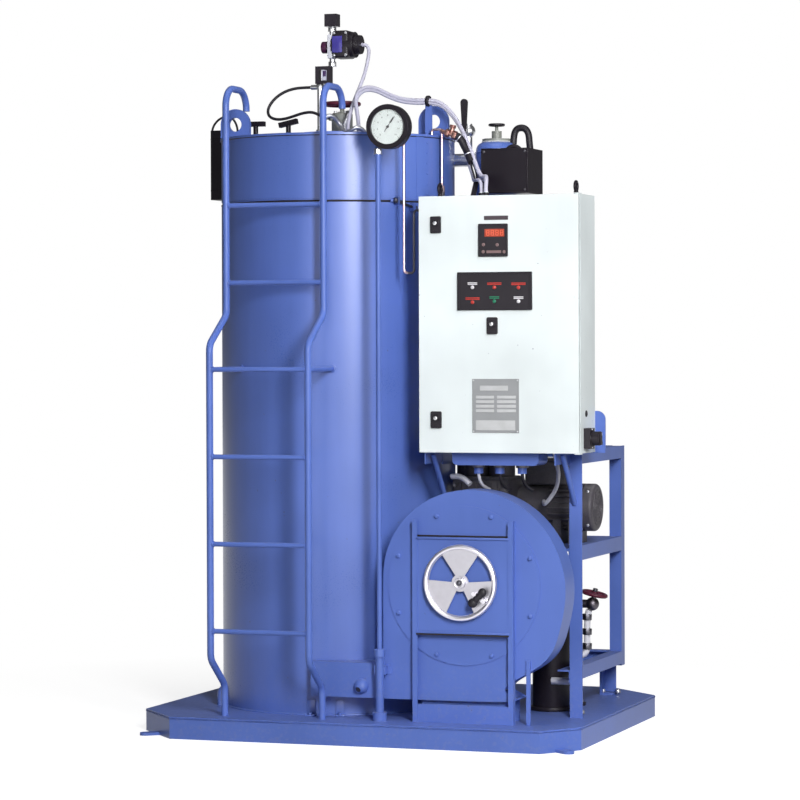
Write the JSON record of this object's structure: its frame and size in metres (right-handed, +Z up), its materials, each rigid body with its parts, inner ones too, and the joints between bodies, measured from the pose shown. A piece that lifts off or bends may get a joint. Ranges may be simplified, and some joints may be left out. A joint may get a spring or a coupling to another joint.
{
  "type": "vertical coil-type industrial steam boiler on a skid base",
  "caption": "Vertical steam boiler on a chamfered skid base, with a ladder, a damper-controlled fan, a control cabinet and a pump frame.",
  "frame": {"origin": "centre of the underside of the base, on the middle cross member", "axes": "+Z up, the longest extent; +X right along the front edge; +Y towards the back"},
  "size_m": [1.653, 1.378, 2.557],
  "materials": {
    "black_paint": "satin",
    "black_plastic": "matte",
    "blue_paint": "satin",
    "bronze_valve": "matte",
    "copper_tube": "satin",
    "dark_grey_casting": "matte",
    "grey_conduit": "matte",
    "red_paint": "satin",
    "silver_metal": "satin",
    "white_paint": "satin"
  },
  "bodies": {
    "boiler": {"anchor_lugs": "blue_paint", "base_cross_members": "blue_paint", "base_deck": "blue_paint", "base_perimeter": "blue_paint", "burner_control_box": "black_paint", "cabinet_body": "white_paint", "cabinet_brackets": "blue_paint", "cabinet_eyes": "black_paint", "cable_loop": "black_plastic", "conduits": "grey_conduit", "copper_lines": "copper_tube", "cover_clamps": "black_paint", "damper_guides": "blue_paint", "damper_plate": "blue_paint", "door_hinges": "white_paint", "drum_connections": "blue_paint", "drum_cover": "blue_paint", "drum_floor": "blue_paint", "drum_shell": "blue_paint", "drum_upper_band": "blue_paint", "fan_casing": "blue_paint", "fan_impeller": "silver_metal", "fan_inlet_cover": "blue_paint", "fan_motor": "dark_grey_casting", "fan_support": "blue_paint", "feed_pump": "dark_grey_casting", "frame_cross_rails": "blue_paint", "frame_posts": "blue_paint", "frame_side_rails": "blue_paint", "gauge_stand": "blue_paint", "gland_tray": "blue_paint", "ignition_box": "black_paint", "inlet_valve": "bronze_valve", "instrument_brackets": "blue_paint", "instrument_riser": "silver_metal", "isolator_switch": "black_plastic", "ladder_rungs": "blue_paint", "ladder_stile_left": "blue_paint", "ladder_stile_right": "blue_paint", "lifting_lugs": "blue_paint", "motor_shelf": "blue_paint", "pressure_gauge": "black_paint", "pressure_switch": "black_paint", "pump_motor": "dark_grey_casting", "separator_stand": "blue_paint", "separator_valves": "bronze_valve", "steam_line": "silver_metal", "steam_separator": "blue_paint", "top_valve": "bronze_valve"},
    "door": {"cabinet_door": "white_paint", "door_locks": "black_plastic", "controller_unit": "black_plastic", "annunciator_panel": "black_plastic"},
    "damper_shutter": {"damper_disc": "silver_metal", "damper_wing": "black_paint"},
    "separator_wheel": {"separator_handwheel": "black_paint"},
    "side_wheel": {"side_handwheel": "black_plastic"},
    "top_wheel": {"top_handwheel": "red_paint"},
    "inlet_wheel": {"inlet_handwheel": "red_paint"},
    "steam_lever": {"valve_lever": "black_plastic"}
  },
  "joints": [
    {"name": "cabinet_door_hinge", "type": "hinge", "parent": "boiler", "child": "door", "pos_m": [0.785, -0.4805, 1.4345], "axis": [0, 0, 1], "range_deg": [0, 110]},
    {"name": "shutter_turn", "type": "hinge", "parent": "boiler", "child": "damper_shutter", "pos_m": [0.395, -0.565, 0.557], "axis": [0, -1, 0], "range_deg": [0, 60]},
    {"name": "separator_wheel_turn", "type": "hinge", "parent": "boiler", "child": "separator_wheel", "pos_m": [0.32, 0.1, 2.1543], "axis": [0, 0, 1], "range_deg": [0, 720]},
    {"name": "side_wheel_turn", "type": "hinge", "parent": "boiler", "child": "side_wheel", "pos_m": [0.412, 0.008, 2.04], "axis": [0, -1, 0], "range_deg": [0, 720]},
    {"name": "top_wheel_turn", "type": "hinge", "parent": "boiler", "child": "top_wheel", "pos_m": [-0.212, -0.064, 2.2319], "axis": [0, 0, 1], "range_deg": [0, 720]},
    {"name": "inlet_wheel_turn", "type": "hinge", "parent": "boiler", "child": "inlet_wheel", "pos_m": [0.68813, 0.075, 0.47609], "axis": [0.2198, 0, 0.9755], "range_deg": [0, 720]},
    {"name": "lever_turn", "type": "hinge", "parent": "boiler", "child": "steam_lever", "pos_m": [0.212, 0.0547, 2.135], "axis": [0, -1, 0], "range_deg": [0, 90]}
  ]
}
